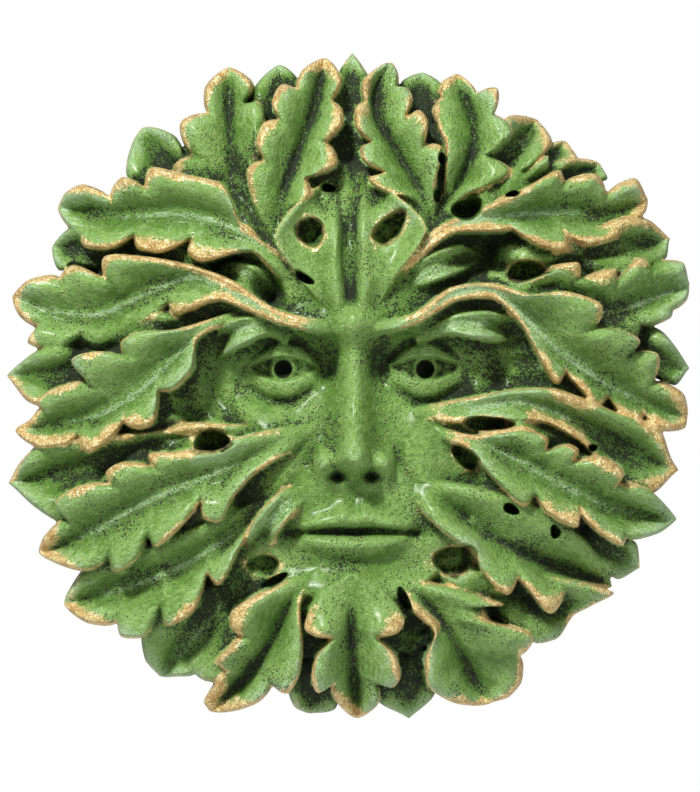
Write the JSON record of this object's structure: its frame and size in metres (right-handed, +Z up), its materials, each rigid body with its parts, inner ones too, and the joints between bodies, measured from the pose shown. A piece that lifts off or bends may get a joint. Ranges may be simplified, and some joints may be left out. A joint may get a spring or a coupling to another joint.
{
  "type": "foliate face wall plaque",
  "caption": "Round cast wall plaque of a calm foliate face ringed by overlapping oak leaves, with a flat back for hanging or fixing.",
  "frame": {"origin": "centre of the flat back, on the back plane", "axes": "+X to the viewer's right, +Z up, the carved front faces -Y and the flat back faces +Y"},
  "size_m": [0.1901, 0.0434, 0.1851],
  "materials": {
    "painted_cast": "cast resin, mid green paint with a black stippled wash in the recesses and gold dry-brushed rims, satin"
  },
  "bodies": {
    "root": {"green_man_plaque": "painted_cast"}
  },
  "joints": []
}
